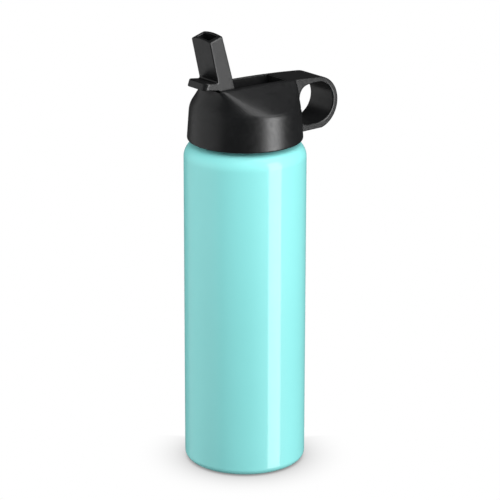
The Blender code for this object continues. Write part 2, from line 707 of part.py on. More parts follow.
def make_straw(parent):
    clear = principled("straw_plastic", (0.80, 0.83, 0.84), 0.25)
    bottom, top = STRAW_Z
    straw = ring("straw", STRAW_BORE_R, STRAW_R, bottom, top, SMALL_STEPS, (PIVOT.x, 0, 0))
    return as_part(straw, clear, parent)


clear_scene()
PARTS = collection_named("insulated_water_bottle")
CUTTERS = collection_named("cutters")

bare_steel = principled("bare_steel", (0.58, 0.58, 0.57), 0.35, 1.0)
black_plastic = principled("black_plastic", (0.022, 0.022, 0.024), 0.42)
insert_plastic = principled("insert_plastic", (0.030, 0.030, 0.032), 0.50)
silicone_rubber = principled("silicone_rubber", (0.55, 0.56, 0.56), 0.55)

make_outer_shell()
make_inner_liner()
make_vacuum_parts(bare_steel)
make_base_cover(bare_steel)

lift_off = empty_at("lid_lift_off_axis", (0, 0, LIP_Z))
lid_rise = empty_at("lid_rise_axis", (0, 0, LIP_Z), lift_off)
lid_turn = empty_at("lid_turn_axis", (0, 0, LIP_Z), lid_rise)
spout_flip = empty_at("spout_flip_axis", PIVOT, lid_turn)
straw_pull = empty_at("straw_pull_axis", (PIVOT.x, 0, STRAW_Z[1]), lid_turn)

make_lid_gasket(lift_off, silicone_rubber)
make_cap_seal_ring(lid_rise, silicone_rubber)
make_cap_body(lid_turn, black_plastic)
make_thread_insert(lid_turn, insert_plastic)
make_straw_adapter(lid_turn, insert_plastic, silicone_rubber)
make_vent_valve(lid_turn, silicone_rubber)
make_spout_pins(lid_turn, bare_steel)
make_spout(spout_flip, black_plastic)
make_straw(straw_pull)
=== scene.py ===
"""Insulated water bottle with a straw lid: the visual model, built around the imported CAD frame.

Shapes are worked out in millimetres in the row frame and stored in metres. The two moulded pieces, the cap
and the spout, are implicit solids with a mould's rounded edges. Round pieces are turned profiles.
"""

import math

import bpy
import numpy as np
from mathutils import Matrix, Vector


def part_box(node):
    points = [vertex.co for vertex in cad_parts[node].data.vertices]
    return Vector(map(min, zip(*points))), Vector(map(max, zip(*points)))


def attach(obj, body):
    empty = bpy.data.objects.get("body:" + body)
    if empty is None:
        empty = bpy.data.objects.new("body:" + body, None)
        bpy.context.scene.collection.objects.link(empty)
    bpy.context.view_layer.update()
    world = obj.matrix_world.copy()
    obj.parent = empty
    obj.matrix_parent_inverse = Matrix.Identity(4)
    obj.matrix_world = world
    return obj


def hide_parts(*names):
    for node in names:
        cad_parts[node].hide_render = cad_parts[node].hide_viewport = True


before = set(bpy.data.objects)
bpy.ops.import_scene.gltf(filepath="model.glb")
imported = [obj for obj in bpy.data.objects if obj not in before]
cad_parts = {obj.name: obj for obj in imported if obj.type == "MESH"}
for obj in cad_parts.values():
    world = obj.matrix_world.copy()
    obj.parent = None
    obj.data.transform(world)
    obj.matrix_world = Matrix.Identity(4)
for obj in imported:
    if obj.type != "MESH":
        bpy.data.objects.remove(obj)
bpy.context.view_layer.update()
MM = 0.001

# The bottle's own sizes, in millimetres
BODY_R, FOOT_R = 36.5, 4.1
FOOT_RIM_R = 30.4  # where the shell turns up to the sunken base
SHELL_WALL, LINER_WALL = 0.8, 0.6
NECK_R, NECK_WALL, NECK_FILLET = 28.8, 0.9, 1.0
MOUTH_R = 26.9
SHOULDER_Z, SHOULDER_R = 190.5, 10.0
SHELL_TOP_Z, LIP_Z = 216.3, 217.3
PAINT_TOP_Z = 201.6
LINER_R, LINER_FLOOR_Z, LINER_CORNER = 33.6, 7.2, 6.0
THREAD_LEAD, THREAD_Z, THREAD_HEIGHT = 4.0, 206.5, 1.2
STRAW_R, STRAW_BORE_R, STRAW_Z = 4.0, 3.2, (17.5, 214.3)
GASKET_R, GASKET_LAP, GASKET_ROUND = 30.0, 0.3, 0.35  # its lap is how far it reaches into the mouth

# The lid's sizes
SKIRT_Z, SKIRT_R = 201.4, 34.55
SKIRT_TOP_Z, SKIRT_TOP_R = 222.2, 33.1
BORE_R, BORE_TOP_Z = 31.8, 221.3
BAR_HALF, BAR_FRONT, BAR_BACK, BAR_CORNER = 10.6, -27.5, 33.5, 4.0
BAR_TOP_Z, BAR_CROWN_X, BAR_CROWN_R = 236.2, -20.0, 700.0
CREASES = ((50.0, 6.0), (125.0, 16.0))  # the back and front creases: degrees round the skirt, and spread
FAN = 0.7  # how far the flank's straight lines crowd towards the bar's front corner
FLANKS_FROM_Z = SKIRT_TOP_Z - 4  # below this the skirt is a plain cone
CHANNEL_X, CHANNEL_HALF, CHANNEL_Z = (-26.8, 24.5), 9.0, 226.4
LOOP_X, LOOP_Z, LOOP_R, LOOP_HALF = 47.7, 216.65, 16.2, 10.6
HOLE_X, HOLE_Z, HOLE_R = 47.9, 217.1, 12.4
LOOP_WALL_X, LOOP_FILLET = 33.7, 8.0
LOOP_ROOT_X = 29.0  # the loop's arms end inside the cap
LOOP_BLEND_Z, LOOP_BLEND_DROP = 230.0, 5.0  # arms blend into the cap below this height, fully after this drop
PIVOT_X, PIVOT_Z = -19.0, 232.0
PIN_HOLE_R, PIN_REACH = 1.7, 11.8
POCKET_R, POCKET_Z = 5.7, 224.6  # clearance round the spout's barrel
SEAT_R, SEAT_Z = 7.5, 222.7  # for the straw adapter, from below
PORT_HOLE_R = 3.9
VENT_X, VENT_R = 13.0, 1.0

# The spout's sizes
BARREL_R, SPOUT_HALF = 5.3, 8.7
FRONT_TIP, BACK_TIP, FRONT_FOOT = (-33.6, 266.2), (-24.1, 268.4), (-26.5, 236.6)
TIP_ARCH = 1.2
SLOT_DEPTH, SLOT_WIDTH, SLOT_START = 6.4, 11.6, 9.0
PORT_R, PIN_SOCKET_Y = 2.7, 6.1
TAB_LENGTH, TAB_THICK, TAB_TILT, TAB_CORNER, TAB_LEAN = 11.0, 4.4, 8.0, 3.2, 12.0
TAB_ROOT = 4.0  # how deep the tab reaches into the blade
TAB_LIMIT = 5.0  # the tab's end shapes nothing higher than this above its middle

# How far moulded edges are rounded, as soft_max and soft_min take it
CRISP, EASED, SOFT = 0.5, 0.8, 1.6


# ---------------------------------------------------------------- meshes

def mesh_object(name, points, faces, normals=None):
    """points in millimetres. normals, one a point, give the shading where the shape is implicit."""
    mesh = bpy.data.meshes.new(name)
    mesh.from_pydata((np.asarray(points) * MM).tolist(), [], [list(map(int, f)) for f in faces])
    mesh.validate()
    mesh.shade_smooth()
    if normals is not None:
        mesh.normals_split_custom_set_from_vertices(normals.tolist())
    item = bpy.data.objects.new(name, mesh)
    bpy.context.scene.collection.objects.link(item)
    return item


def arc(centre, radius, start, end, count):
    turns = np.radians(np.linspace(start, end, count + 1))
    return [(centre[0] + radius * math.cos(t), centre[1] + radius * math.sin(t)) for t in turns]


def rounded(corners, steps=5):
    """A closed (radius, height) outline from (radius, height, fillet) corners."""
    outline = []
    count = len(corners)
    for i, (r, z, fillet) in enumerate(corners):
        here = Vector((r, z))
        if not fillet:
            outline.append((r, z))
            continue
        before = (Vector(corners[i - 1][:2]) - here).normalized()
        after = (Vector(corners[(i + 1) % count][:2]) - here).normalized()
        half = before.angle(after) / 2
        reach = fillet / math.tan(half)
        centre = here + (before + after).normalized() * fillet / math.sin(half)
        a, b = here + before * reach - centre, here + after * reach - centre
        start = math.atan2(a.y, a.x)
        turn = (math.atan2(b.y, b.x) - start + math.pi) % math.tau - math.pi
        for k in range(steps + 1):
            t = start + turn * k / steps
            outline.append((centre.x + fillet * math.cos(t), centre.y + fillet * math.sin(t)))
    return outline


def lathe(name, outline, steps=160, centre=(0.0, 0.0), sharp=38):
    """A closed (radius, height) outline turned about an upright axis. Radius 0 makes a pole."""
    points, rows = [], []
    turns = np.linspace(0, math.tau, steps, endpoint=False)
    for r, z in outline:
        if r < 1e-6:
            rows.append([len(points)] * steps)
            points.append((centre[0], centre[1], z))
            continue
        rows.append(list(range(len(points), len(points) + steps)))
        points += [(centre[0] + r * math.cos(t), centre[1] + r * math.sin(t), z) for t in turns]
    faces = []
    for first, second in zip(rows, rows[1:] + rows[:1]):
        for i in range(steps):
            k = (i + 1) % steps
            face = list(dict.fromkeys((first[i], second[i], second[k], first[k])))
            if len(face) > 2:
                faces.append(face)
    item = mesh_object(name, points, faces)
    item.data.set_sharp_from_angle(angle=math.radians(sharp))
    return item


def ridge(name, root, crest, start_z, start_deg, turn_deg, steps=200):
    """A rolled thread ridge of rounded section that dies out at both ends."""
    rise = [(0.0, -1.3), (0.45, -0.78), (0.85, -0.42)]
    across = [*rise, (1.0, 0.0), *((out, -up) for out, up in rise[::-1])]
    points, faces = [], []
    for i in range(steps + 1):
        share = i / steps
        turn = math.radians(start_deg + turn_deg * share)
        fade = math.sin(min(1.0, 9 * share, 9 * (1 - share)) * math.pi / 2)
        height = start_z + THREAD_LEAD * turn / math.tau
        for out, up in across:
            r = root + (crest - root) * out * fade
            points.append((r * math.cos(turn), r * math.sin(turn), height + up * (0.4 + 0.6 * fade)))
    wide = len(across)
    for i in range(steps):
        for j in range(wide):
            k = (j + 1) % wide
            faces.append((i * wide + j, i * wide + k, (i + 1) * wide + k, (i + 1) * wide + j))
    faces.append(tuple(range(wide)))
    faces.append(tuple(range(steps * wide, (steps + 1) * wide))[::-1])
    item = mesh_object(name, points, faces)
    item.data.set_sharp_from_angle(angle=math.radians(60))
    return item


# ---------------------------------------------------------------- implicit solids: negative inside

def soft_max(a, b, k):
    """The larger of two distances, with the convex edge between them rounded over about k."""
    h = np.maximum(k - np.abs(a - b), 0) / k
    return np.maximum(a, b) + h * h * k / 4


def soft_min(a, b, k):
    return -soft_max(-a, -b, k)


def slope_of(field, points, step=0.02):
    """The field's value and gradient at each point."""
    x, y, z = points.T
    gradient = np.stack(
        [
            field(x + step, y, z) - field(x - step, y, z),
            field(x, y + step, z) - field(x, y - step, z),
            field(x, y, z + step) - field(x, y, z - step),
        ],
        1,
    ) / (2 * step)
    return field(x, y, z), gradient


def implicit(name, field, low, high, pitch):
    """Meshes field's zero surface by surface nets on a half grid at y >= 0, mirrored.

    The points are then pulled onto the surface, and the field's gradient gives their normals.
    """
    xs = np.arange(low[0] - pitch, high[0] + 2 * pitch, pitch)
    zs = np.arange(low[2] - pitch, high[2] + 2 * pitch, pitch)
    half = np.arange(pitch / 2, high[1] + 2 * pitch, pitch)
    values = np.empty((len(xs), len(half), len(zs)))
    yy, zz = np.meshgrid(half, zs, indexing="ij")
    for i, x in enumerate(xs):
        values[i] = field(np.full(yy.size, x), yy.ravel(), zz.ravel()).reshape(yy.shape)
    values = np.concatenate([values[:, ::-1], values], 1)
    ys = np.concatenate([-half[::-1], half])
    inside = values < 0
    cells = np.zeros([n - 1 for n in values.shape], np.int8)
    corners = [(i, j, k) for i in (0, 1) for j in (0, 1) for k in (0, 1)]
    ends = [tuple(slice(c, n - 1 + c) for c, n in zip(corner, values.shape)) for corner in corners]
    for part in ends:
        cells += inside[part]
    mixed = (cells > 0) & (cells < 8)
    where = np.argwhere(mixed)
    total = np.zeros((len(where), 3))
    hits = np.zeros(len(where))
    at = [values[part][mixed] for part in ends]
    for a, first in enumerate(corners):
        for b, second in enumerate(corners):
            step = np.subtract(second, first)
            if b < a or np.abs(step).sum() != 1:
                continue
            cross = (at[a] < 0) != (at[b] < 0)
            share = np.where(cross, at[a] / np.where(cross, at[a] - at[b], 1), 0)
            total += np.where(cross[:, None], np.array(first) + share[:, None] * step, 0)
            hits += cross
    local = where + total / hits[:, None]
    points = np.stack([axis[0] + pitch * local[:, i] for i, axis in enumerate((xs, ys, zs))], 1)
    number = np.full(mixed.shape, -1)
    number[mixed] = np.arange(len(where))
    faces = []
    for axis in range(3):
        u, v = (axis + 1) % 3, (axis + 2) % 3
        low_side = [slice(None)] * 3
        high_side = [slice(None)] * 3
        low_side[axis], high_side[axis] = slice(0, -1), slice(1, None)
        change = inside[tuple(low_side)].astype(np.int8) - inside[tuple(high_side)]
        spots = np.argwhere(change != 0)
        turned = change[change != 0]
        quad = []
        for du, dv in ((1, 1), (0, 1), (0, 0), (1, 0)):
            spot = spots.copy()
            spot[:, u] -= du
            spot[:, v] -= dv
            quad.append(number[tuple(spot.T)])
        quad = np.stack(quad, 1)
        faces.append(np.where(turned[:, None] > 0, quad, quad[:, ::-1]))
    faces = np.concatenate(faces)
    for _ in range(4):
        value, gradient = slope_of(field, points)
        move = gradient * (value / np.maximum((gradient**2).sum(1), 0.05))[:, None]
        size = np.linalg.norm(move, axis=1, keepdims=True)
        points -= move * np.minimum(1, 0.4 * pitch / np.maximum(size, 1e-9))
    gradient = slope_of(field, points, 0.12)[1]
    normals = gradient / np.maximum(np.linalg.norm(gradient, axis=1, keepdims=True), 1e-9)
    return mesh_object(name, points, faces, normals)


def bar_top(x):
    return BAR_TOP_Z - (x - BAR_CROWN_X) ** 2 / (2 * BAR_CROWN_R)


def flank_stations():
    """Half of the cap's plan, back to front: points on the skirt's top circle and on the bar's outline."""
    (back, soft), (front, broad) = CREASES
    straight = BAR_HALF - BAR_CORNER
    ends, side, corner = 15, 25, 9
    even = np.linspace(0, 1, side)
    fanned = even + FAN * even**2 * (1 - even)
    length = BAR_BACK - BAR_FRONT - 2 * BAR_CORNER
    back_bend = arc((BAR_BACK - BAR_CORNER, straight), BAR_CORNER, 0, 90, corner - 1)
    front_bend = arc((BAR_FRONT + BAR_CORNER, straight), BAR_CORNER, 90, 180, corner - 1)
    flat_side = [(BAR_BACK - BAR_CORNER - length * share, BAR_HALF) for share in fanned]
    parts = [
        (np.linspace(0, back - soft, ends), [(BAR_BACK, y) for y in np.linspace(0, straight, ends)]),
        (np.linspace(back - soft, back + soft, corner), back_bend),
        (np.linspace(back + soft, front - broad, side), flat_side),
        (np.linspace(front - broad, front + broad, corner), front_bend),
        (np.linspace(front + broad, 180, ends), [(BAR_FRONT, y) for y in np.linspace(straight, 0, ends)]),
    ]
    angles, bar = [0.0], [(BAR_BACK, 0.0)]
    for turns, places in parts:
        angles += list(turns[1:])
        bar += places[1:]
    turns = np.radians(angles)
    return SKIRT_TOP_R * np.stack([np.cos(turns), np.sin(turns)], 1), np.array(bar)


CIRCLE, BAR = flank_stations()
FLANK_HEIGHT = BAR_TOP_Z - SKIRT_TOP_Z


def flank_tilts():
    """How much each flank's true distance is less than its level one, from its lean."""
    middle = (CIRCLE + BAR) / 2
    along = middle[1:] - middle[:-1]
    out = np.stack([along[:, 1], -along[:, 0]], 1) / np.linalg.norm(along, axis=1, keepdims=True)
    lean = ((BAR - CIRCLE)[1:] * out).sum(1) / FLANK_HEIGHT
    return 1 / np.sqrt(1 + lean**2)


TILTS = flank_tilts()


def flanks(x, y, z):
    """Distance from the ruled surface between the skirt's top circle and the bar's outline."""
    t = (z - SKIRT_TOP_Z) / (bar_top(np.clip(x, BAR_FRONT, BAR_BACK)) - SKIRT_TOP_Z)
    y = np.abs(y)
    found = np.full(x.shape, -1e9)
    for i in range(len(TILTS)):
        px = CIRCLE[i, 0] + (BAR[i, 0] - CIRCLE[i, 0]) * t
        py = CIRCLE[i, 1] + (BAR[i, 1] - CIRCLE[i, 1]) * t
        ex = CIRCLE[i + 1, 0] + (BAR[i + 1, 0] - CIRCLE[i + 1, 0]) * t - px
        ey = CIRCLE[i + 1, 1] + (BAR[i + 1, 1] - CIRCLE[i + 1, 1]) * t - py
        away = ((x - px) * ey - (y - py) * ex) / np.sqrt(ex * ex + ey * ey)
        found = np.maximum(found, away * TILTS[i])
    return found


LOOP_LEAN = math.atan2(LOOP_X - BAR_CROWN_X, LOOP_Z - BAR_TOP_Z + BAR_CROWN_R)


def carry_loop(x, y, z):
    """A broad strip bent round a finger hole, its two arms running into the cap."""
    dx, dz = x - LOOP_X, z - LOOP_Z
    past = dx > LOOP_R * math.sin(LOOP_LEAN) * (dz > 0)
    outer = np.where(past, np.hypot(dx, dz) - LOOP_R, np.maximum(z - bar_top(x), -dz - LOOP_R))
    outer = np.maximum(outer, LOOP_ROOT_X - x)
    hole = np.hypot(np.maximum(x - HOLE_X, 0), z - HOLE_Z) - HOLE_R
    hole = soft_max(hole, LOOP_WALL_X - x, 1.1 * LOOP_FILLET)
    strip = soft_max(outer, -hole, EASED)
    return soft_max(strip, np.abs(y) - LOOP_HALF, 0.9)


def upright(x, y, at_x, radius):
    return np.hypot(x - at_x, y) - radius


def cap_field(x, y, z):
    """The cap: skirt, flanks, bar and carry loop, less the channel, the bore and the holes."""
    r = np.hypot(x, y)
    lean = (SKIRT_TOP_R - SKIRT_R) / (SKIRT_TOP_Z - SKIRT_Z)
    skirt = (r - (SKIRT_R + lean * (z - SKIRT_Z))) / math.hypot(1, lean)
    body = skirt
    high = z > FLANKS_FROM_Z
    if high.any():
        body = skirt.copy()
        body[high] = soft_max(skirt[high], flanks(x[high], y[high], z[high]), SOFT)
    body = soft_max(body, z - bar_top(x), EASED)
    body = soft_max(body, SKIRT_Z - z, SOFT)
    blend = 0.05 + SOFT * np.clip((LOOP_BLEND_Z - z) / LOOP_BLEND_DROP, 0, 1)
    solid = soft_min(body, carry_loop(x, y, z), blend)
    middle, half = sum(CHANNEL_X) / 2, (CHANNEL_X[1] - CHANNEL_X[0]) / 2
    walls = soft_max(np.abs(x - middle) - half, np.abs(y) - CHANNEL_HALF, 1.4)
    solid = soft_max(solid, -soft_max(walls, CHANNEL_Z - z, 0.9), 0.7)
    bore = soft_max(r - BORE_R, z - BORE_TOP_Z, 1.0)
    pocket = np.maximum(upright(x, y, PIVOT_X, POCKET_R), POCKET_Z - z)
    seat = np.maximum(upright(x, y, PIVOT_X, SEAT_R), z - SEAT_Z)
    port = upright(x, y, PIVOT_X, PORT_HOLE_R)
    vent = upright(x, y, VENT_X, VENT_R)
    pins = np.maximum(np.hypot(x - PIVOT_X, z - PIVOT_Z) - PIN_HOLE_R, np.abs(y) - PIN_REACH)
    for hollow in (bore, pocket, seat, port, vent, pins):
        solid = np.maximum(solid, -hollow)
    return solid


def tangent(outside, side):
    """Where a line from a point touches the spout's barrel."""
    ax, az = outside[0] - PIVOT_X, outside[1] - PIVOT_Z
    turn = math.atan2(az, ax) - side * math.acos(BARREL_R / math.hypot(ax, az))
    return PIVOT_X + BARREL_R * math.cos(turn), PIVOT_Z + BARREL_R * math.sin(turn)


TIP = ((FRONT_TIP[0] + BACK_TIP[0]) / 2, (FRONT_TIP[1] + BACK_TIP[1]) / 2)
REACH = math.hypot(TIP[0] - PIVOT_X, TIP[1] - PIVOT_Z)
AXIS = ((TIP[0] - PIVOT_X) / REACH, (TIP[1] - PIVOT_Z) / REACH)
ACROSS = (AXIS[1], -AXIS[0])


def beyond(x, z, first, second):
    """Distance past the line from first to second, on its right-hand side."""
    ex, ez = second[0] - first[0], second[1] - first[1]
    return ((x - first[0]) * ez - (z - first[1]) * ex) / math.hypot(ex, ez)


def spout_field(x, y, z):
    """The drinking spout: a side view limited by its plan and arched tip, less the mouth and the holes."""
    along = (x - PIVOT_X) * AXIS[0] + (z - PIVOT_Z) * AXIS[1]
    across = (x - PIVOT_X) * ACROSS[0] + (z - PIVOT_Z) * ACROSS[1]
    barrel = np.hypot(x - PIVOT_X, z - PIVOT_Z) - BARREL_R
    front_touch, back_touch = tangent(FRONT_FOOT, -1), tangent(BACK_TIP, 1)
    front = beyond(x, z, FRONT_TIP, FRONT_FOOT)
    foot = beyond(x, z, FRONT_FOOT, front_touch)
    back = beyond(x, z, back_touch, BACK_TIP)
    blade = soft_max(soft_max(front, foot, CRISP), back, CRISP)
    blade = np.maximum(blade, beyond(x, z, front_touch, (PIVOT_X, PIVOT_Z)))
    blade = np.maximum(blade, -along)
    tilt, lean = math.radians(TAB_TILT), math.radians(TAB_LEAN)
    root_x, root_z = FRONT_FOOT[0], FRONT_FOOT[1] + TAB_THICK / 2
    out = -(x - root_x) * math.cos(tilt) + (z - root_z) * math.sin(tilt)
    up = (x - root_x) * math.sin(tilt) + (z - root_z) * math.cos(tilt)
    tab = np.maximum(np.abs(up) - TAB_THICK / 2, -TAB_ROOT - out)
    side = soft_min(np.minimum(blade, barrel), tab, SOFT)
    end = (out - TAB_LENGTH) * math.cos(lean) + up * math.sin(lean) + TAB_CORNER
    end = np.where(up < TAB_LIMIT, end, -TAB_LENGTH)
    edge = np.abs(y) - SPOUT_HALF + TAB_CORNER
    plan = np.hypot(np.maximum(end, 0), np.maximum(edge, 0)) - TAB_CORNER
    plan = plan + np.minimum(np.maximum(end, edge), 0)
    bow = (SPOUT_HALF**2 + TIP_ARCH**2) / (2 * TIP_ARCH)
    top = along - REACH - TIP_ARCH + y * y / (2 * bow)
    solid = soft_max(side, plan, 0.9)
    solid = soft_max(solid, top, 0.7)
    slot = soft_max(np.abs(across) - SLOT_DEPTH / 2, np.abs(y) - SLOT_WIDTH / 2, SOFT)
    slot = np.maximum(slot, SLOT_START - along)
    solid = soft_max(solid, -slot, EASED)
    way = np.maximum(np.hypot(across, y) - PORT_R, -along)
    port = np.maximum(upright(x, y, PIVOT_X, PORT_R), z - PIVOT_Z - 1)
    pins = np.maximum(np.hypot(x - PIVOT_X, z - PIVOT_Z) - PIN_HOLE_R, PIN_SOCKET_Y - np.abs(y))
    for hollow in (way, port, pins):
        solid = np.maximum(solid, -hollow)
    return solid


# ---------------------------------------------------------------- materials

class Nodes:
    """A short way to write one material's node tree."""

    def __init__(self, name, colour, roughness, metallic=0.0, **sockets):
        self.material = bpy.data.materials.new(name)
        self.material.use_nodes = True
        self.tree = self.material.node_tree
        self.shader = self.tree.nodes["Principled BSDF"]
        self.set("Base Color", (*colour, 1.0))
        self.set("Roughness", roughness)
        self.set("Metallic", metallic)
        for socket, value in sockets.items():
            self.set(socket.replace("_", " "), value)
        self.coords = self.tree.nodes.new("ShaderNodeTexCoord").outputs["Object"]

    def set(self, socket, value):
        self.shader.inputs[socket].default_value = value

    def noise(self, scale, detail=3.0, roughness=0.5, stretch=None):
        coords = self.coords
        if stretch:
            mapping = self.tree.nodes.new("ShaderNodeMapping")
            mapping.inputs["Scale"].default_value = stretch
            self.tree.links.new(coords, mapping.inputs["Vector"])
            coords = mapping.outputs["Vector"]
        node = self.tree.nodes.new("ShaderNodeTexNoise")
        node.inputs["Scale"].default_value = scale
        node.inputs["Detail"].default_value = detail
        node.inputs["Roughness"].default_value = roughness
        self.tree.links.new(coords, node.inputs["Vector"])
        return node.outputs["Fac"]

    def spread(self, value, low, high, start=0.3, end=0.7):
        """value from start to end turned into low to high."""
        node = self.tree.nodes.new("ShaderNodeMapRange")
        for socket, number in (("From Min", start), ("From Max", end), ("To Min", low), ("To Max", high)):
            node.inputs[socket].default_value = number
        self.tree.links.new(value, node.inputs["Value"])
        return node.outputs["Result"]

    def roughen(self, value, low, high):
        self.tree.links.new(self.spread(value, low, high), self.shader.inputs["Roughness"])

    def tint(self, value, first, second, start=0.3, end=0.7):
        mix = self.tree.nodes.new("ShaderNodeMix")
        mix.data_type = "RGBA"
        mix.inputs["A"].default_value = (*first, 1.0)
        mix.inputs["B"].default_value = (*second, 1.0)
        self.tree.links.new(self.spread(value, 0.0, 1.0, start, end), mix.inputs["Factor"])
        self.tree.links.new(mix.outputs["Result"], self.shader.inputs["Base Color"])

    def bump(self, *heights):
        """heights are (value, distance in metres) pairs, finest last."""
        normal = None
        for value, distance in heights:
            node = self.tree.nodes.new("ShaderNodeBump")
            node.inputs["Distance"].default_value = distance
            self.tree.links.new(value, node.inputs["Height"])
            if normal is not None:
                self.tree.links.new(normal, node.inputs["Normal"])
            normal = node.outputs["Normal"]
        self.tree.links.new(normal, self.shader.inputs["Normal"])
        return self.material


def powder_coat():
    """Matt mint paint with a fine orange peel, under a thin clear coat that mirrors the soft box."""
    shine = {"Specular_IOR_Level": 0.3, "Coat_Weight": 0.46, "Coat_Roughness": 0.07}
    n = Nodes("mint_powder_coat", (0.201, 0.572, 0.563), 0.5, **shine)
    n.tint(n.noise(14, 4), (0.197, 0.563, 0.554), (0.205, 0.581, 0.572))
    n.roughen(n.noise(260, 3), 0.46, 0.54)
    return n.bump((n.noise(1600, 2), 0.000004), (n.noise(5200, 2), 0.000002))


def moulded_plastic(name, colour, roughness, grain):
    """Black plastic as it leaves a textured mould. grain is the texture's depth in metres."""
    n = Nodes(name, colour, roughness, Specular_IOR_Level=0.5)
    lighter = tuple(c * 1.3 + 0.001 for c in colour)
    n.tint(n.noise(120, 5, 0.6), colour, lighter, 0.35, 0.75)
    n.roughen(n.noise(420, 4), roughness - 0.04, roughness + 0.06)
    return n.bump((n.noise(2600, 2), grain), (n.noise(9000, 1), grain * 0.4))


def brushed_steel(name, colour, roughness, stretch=(40, 40, 2600)):
    n = Nodes(name, colour, roughness, 1.0)
    lines = n.noise(1.0, 4, 0.6, stretch)
    n.tint(n.noise(60, 3), tuple(c * 0.93 for c in colour), tuple(min(1, c * 1.06) for c in colour))
    n.roughen(lines, roughness - 0.08, roughness + 0.10)
    return n.bump((lines, 0.000012))


def soft_rubber(name, colour):
    n = Nodes(name, colour, 0.5, Specular_IOR_Level=0.35, Sheen_Weight=0.15, Sheen_Roughness=0.5)
    n.tint(n.noise(300, 4), tuple(c * 0.94 for c in colour), tuple(c * 1.04 for c in colour))
    n.roughen(n.noise(800, 3), 0.44, 0.58)
    return n.bump((n.noise(3000, 2), 0.00001))


def straw_plastic():
    n = Nodes("frosted_straw", (0.86, 0.89, 0.90), 0.3, Transmission_Weight=0.45, IOR=1.5)
    n.tint(n.noise(70, 3), (0.82, 0.86, 0.87), (0.90, 0.92, 0.93))
    lines = n.noise(1.0, 3, 0.5, (1500, 1500, 6))
    n.roughen(lines, 0.24, 0.36)
    return n.bump((lines, 0.000008))


def copper_foil():
    n = Nodes("copper_foil", (0.86, 0.45, 0.30), 0.25, 1.0)
    n.tint(n.noise(30, 4), (0.80, 0.40, 0.26), (0.90, 0.50, 0.34))
    creases = n.noise(160, 5, 0.7)
    n.roughen(creases, 0.18, 0.36)
    return n.bump((creases, 0.0002))


def fused_glass():
    n = Nodes("sealing_glass", (0.05, 0.07, 0.06), 0.1, Coat_Weight=0.5)
    n.tint(n.noise(400, 3), (0.04, 0.055, 0.05), (0.08, 0.10, 0.09))
    n.roughen(n.noise(900, 2), 0.06, 0.2)
    return n.bump((n.noise(700, 3), 0.00003))


def sintered_alloy():
    n = Nodes("getter_alloy", (0.30, 0.30, 0.31), 0.65, 1.0)
    grains = n.noise(3500, 3, 0.6)
    n.tint(grains, (0.20, 0.20, 0.21), (0.38, 0.38, 0.39))
    n.roughen(grains, 0.55, 0.8)
    return n.bump((grains, 0.00005))


def dress(item, material):
    item.data.materials.clear()
    item.data.materials.append(material)
    return item


# ---------------------------------------------------------------- the pieces

def place(item, body, material, slot, *nodes):
    """Gives a piece its material and body, and hides the CAD nodes that it stands for. slot is not used."""
    dress(item, material)
    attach(item, body)
    if nodes:
        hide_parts(*nodes)
    return item


MINT = powder_coat()
BLACK = moulded_plastic("black_plastic", (0.0035, 0.0037, 0.004), 0.36, 0.000010)
INSERT_BLACK = moulded_plastic("insert_plastic", (0.018, 0.018, 0.019), 0.46, 0.000008)
NECK_STEEL = brushed_steel("neck_steel", (0.60, 0.59, 0.58), 0.30)
BARE_STEEL = brushed_steel("bare_steel", (0.58, 0.57, 0.56), 0.34)
LINER_STEEL = brushed_steel("liner_steel", (0.62, 0.62, 0.60), 0.24, (25, 25, 900))
SILICONE = soft_rubber("grey_silicone", (0.42, 0.43, 0.43))
STRAW_PLASTIC = straw_plastic()


def make_body():
    """The powder-coated shell with its bare neck and rolled thread."""
    centre_r = BODY_R - SHOULDER_R
    foot_centre, foot_inner = (BODY_R - FOOT_R, FOOT_R), FOOT_R - SHELL_WALL
    shoulder_inner, neck_inner = SHOULDER_R - SHELL_WALL, NECK_R - NECK_WALL
    end = math.degrees(math.acos((NECK_R + NECK_FILLET - centre_r) / SHOULDER_R))
    top = SHOULDER_Z + SHOULDER_R * math.sin(math.radians(end))
    inner_end = math.degrees(math.acos((neck_inner - centre_r) / shoulder_inner))
    inner_top = SHOULDER_Z + shoulder_inner * math.sin(math.radians(inner_end))
    outline = [(NECK_R - 0.02, PAINT_TOP_Z + 0.1), (NECK_R + 0.12, PAINT_TOP_Z)]
    outline += [(NECK_R + 0.14, top + 0.55), (NECK_R + 0.4, top + 0.16)]
    outline += arc((centre_r, SHOULDER_Z), SHOULDER_R, end, 0, 24)
    outline += [(BODY_R, z) for z in np.linspace(SHOULDER_Z, FOOT_R, 14)[1:-1]]
    outline += arc(foot_centre, FOOT_R, 0, -90, 14)
    turned_up = [(0.0, 0.0), (0.3, 0.12), (0.4, 0.4), (0.3, SHELL_WALL)]
    outline += [(FOOT_RIM_R - inwards, z) for inwards, z in turned_up]
    outline += arc(foot_centre, foot_inner, -90, 0, 8)
    outline += arc((centre_r, SHOULDER_Z), shoulder_inner, 0, inner_end, 12)
    outline += [(neck_inner, inner_top + 0.3), (neck_inner, PAINT_TOP_Z + 0.1)]
    place(lathe("painted_body", outline, 192), "bottle", MINT, "painted_shell", "outer_shell")
    bare_z, bare_inner = PAINT_TOP_Z - 0.2, NECK_R - 0.85
    corners = [(NECK_R, SHELL_TOP_Z, 0.15), (NECK_R, bare_z, 0), (bare_inner, bare_z, 0)]
    neck = rounded([*corners, (bare_inner, SHELL_TOP_Z, 0.15)])
    place(lathe("steel_neck", neck), "bottle", NECK_STEEL, "liner_steel")
    thread = ridge("neck_thread", NECK_R - 0.1, NECK_R + THREAD_HEIGHT, THREAD_Z, 0, 360)
    place(thread, "bottle", NECK_STEEL, "liner_steel")


